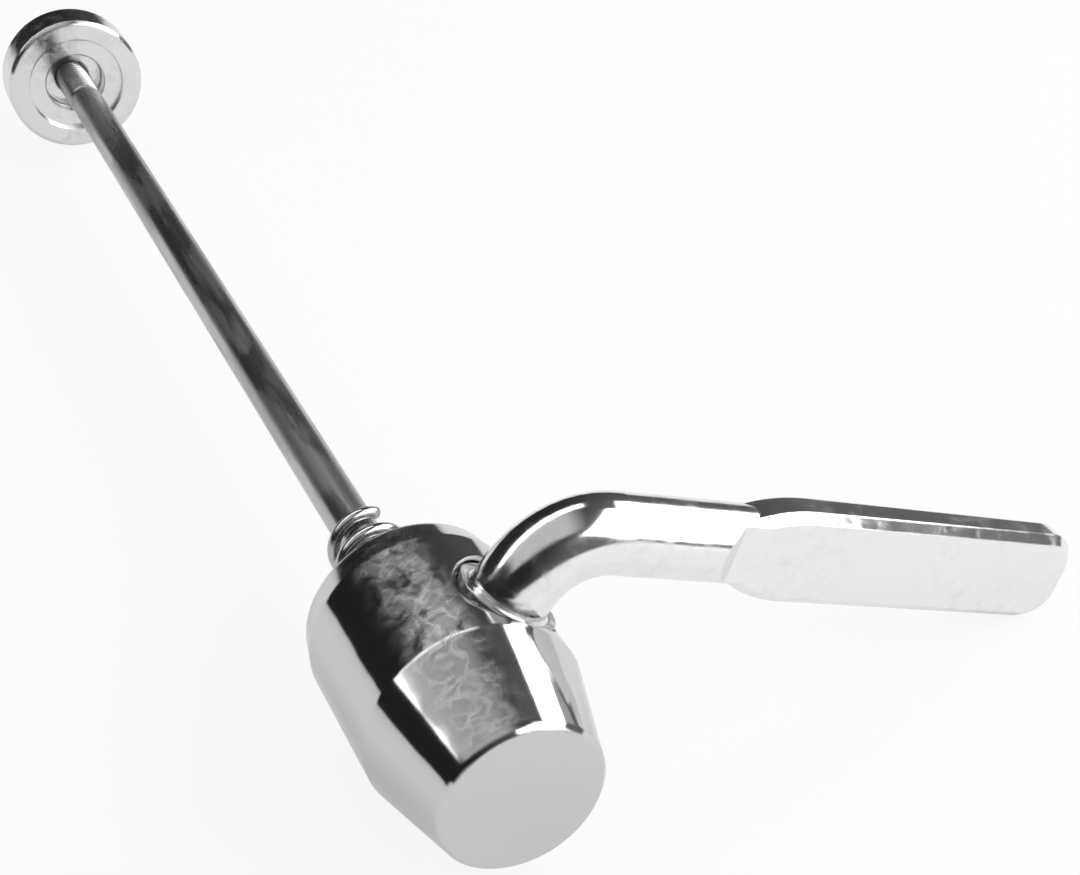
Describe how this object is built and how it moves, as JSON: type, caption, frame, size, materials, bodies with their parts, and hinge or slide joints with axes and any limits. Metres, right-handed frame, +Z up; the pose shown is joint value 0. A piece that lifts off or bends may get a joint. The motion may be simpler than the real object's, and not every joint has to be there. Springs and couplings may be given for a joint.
{
  "type": "quick release skewer",
  "caption": "Bicycle quick release skewer: a long steel rod with a cam housing and bent lever at its head, a conical spring and a round adjusting nut; closing the lever clamps a wheel.",
  "frame": {"origin": "on the rod's axis, in the plane of the housing's clamping face", "axes": "+Y along the rod from the housing to the nut, +Z up as the skewer lies at rest, the lever's tip towards +X"},
  "size_m": [0.0828, 0.1855, 0.0286],
  "materials": {
    "housing_chrome": "worn bright plating",
    "lever_chrome": "bright plating",
    "nut_chrome": "bright plating",
    "rod_steel": "dark drawn steel",
    "spring_steel": "bright wire",
    "bush_steel": "turned",
    "clip_steel": "dark spring steel"
  },
  "bodies": {
    "housing_body": {"housing": "housing_chrome", "lever_bush": "bush_steel", "lever_spring": "spring_steel"},
    "lever_body": {"cam_lever": "lever_chrome", "retaining_clip": "clip_steel"},
    "rod_body": {"skewer_rod": "rod_steel"},
    "nut_body": {"adjusting_nut": "nut_chrome"}
  },
  "joints": [
    {"name": "lever_pivot", "type": "hinge", "parent": "housing_body", "child": "lever_body", "pos_m": [0, -0.012, 0], "axis": [-0.5516, 0, -0.8341], "range_deg": [0, 180]},
    {"name": "rod_draw", "type": "slide", "parent": "housing_body", "child": "rod_body", "axis": [0, 1, 0], "range_m": [0, 0.0028]},
    {"name": "nut_turn", "type": "hinge", "parent": "rod_body", "child": "nut_body", "pos_m": [0, 0.1425, 0], "axis": [0, 1, 0], "continuous": true}
  ],
  "couplings": [
    {"joint": "rod_draw", "follows": "lever_pivot", "m_per_rad": 0.000891}
  ]
}
